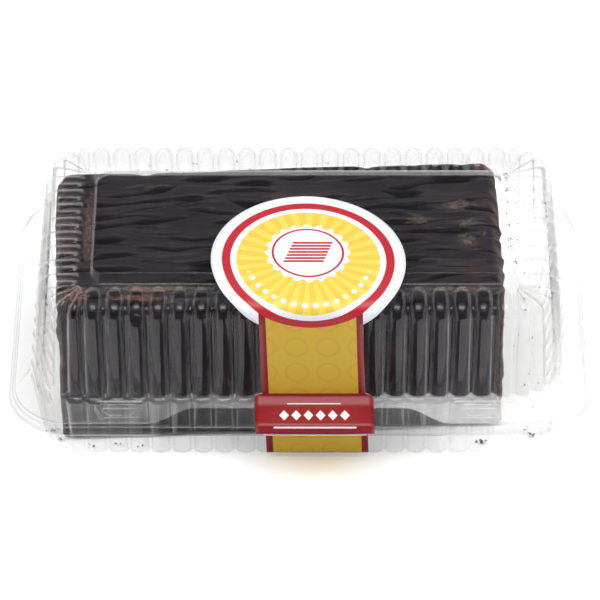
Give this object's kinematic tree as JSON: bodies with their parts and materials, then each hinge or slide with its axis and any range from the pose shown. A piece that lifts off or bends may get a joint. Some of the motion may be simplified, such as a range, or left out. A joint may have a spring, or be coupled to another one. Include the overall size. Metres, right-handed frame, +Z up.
{
  "type": "seven layer cake in a hinged clear pack",
  "caption": "Chocolate coated loaf cake in a clear hinged fluted pack with a round paper label and a label strip over its front.",
  "frame": {"origin": "under the middle of the closed pack, on the surface that it stands on", "axes": "+X along the pack, +Y towards its hinge, +Z up"},
  "size_m": [0.2408, 0.1473, 0.0807],
  "materials": {
    "clear_pet_tray": "clear thermoformed PET, glossy",
    "clear_pet_lid": "clear thermoformed PET, glossy",
    "chocolate_coating": "dark chocolate coating, combed, half gloss",
    "printed_paper": "coated paper printed in yellow, red and white"
  },
  "bodies": {
    "base": {"tray": "clear_pet_tray", "cake": "chocolate_coating", "label_tray": "printed_paper"},
    "cover": {"lid": "clear_pet_lid", "label_lid": "printed_paper"}
  },
  "joints": [
    {"name": "lid_hinge", "type": "hinge", "parent": "base", "child": "cover", "pos_m": [0, 0.0737, 0.031], "axis": [-1, 0, 0], "range_deg": [0, 150]}
  ]
}
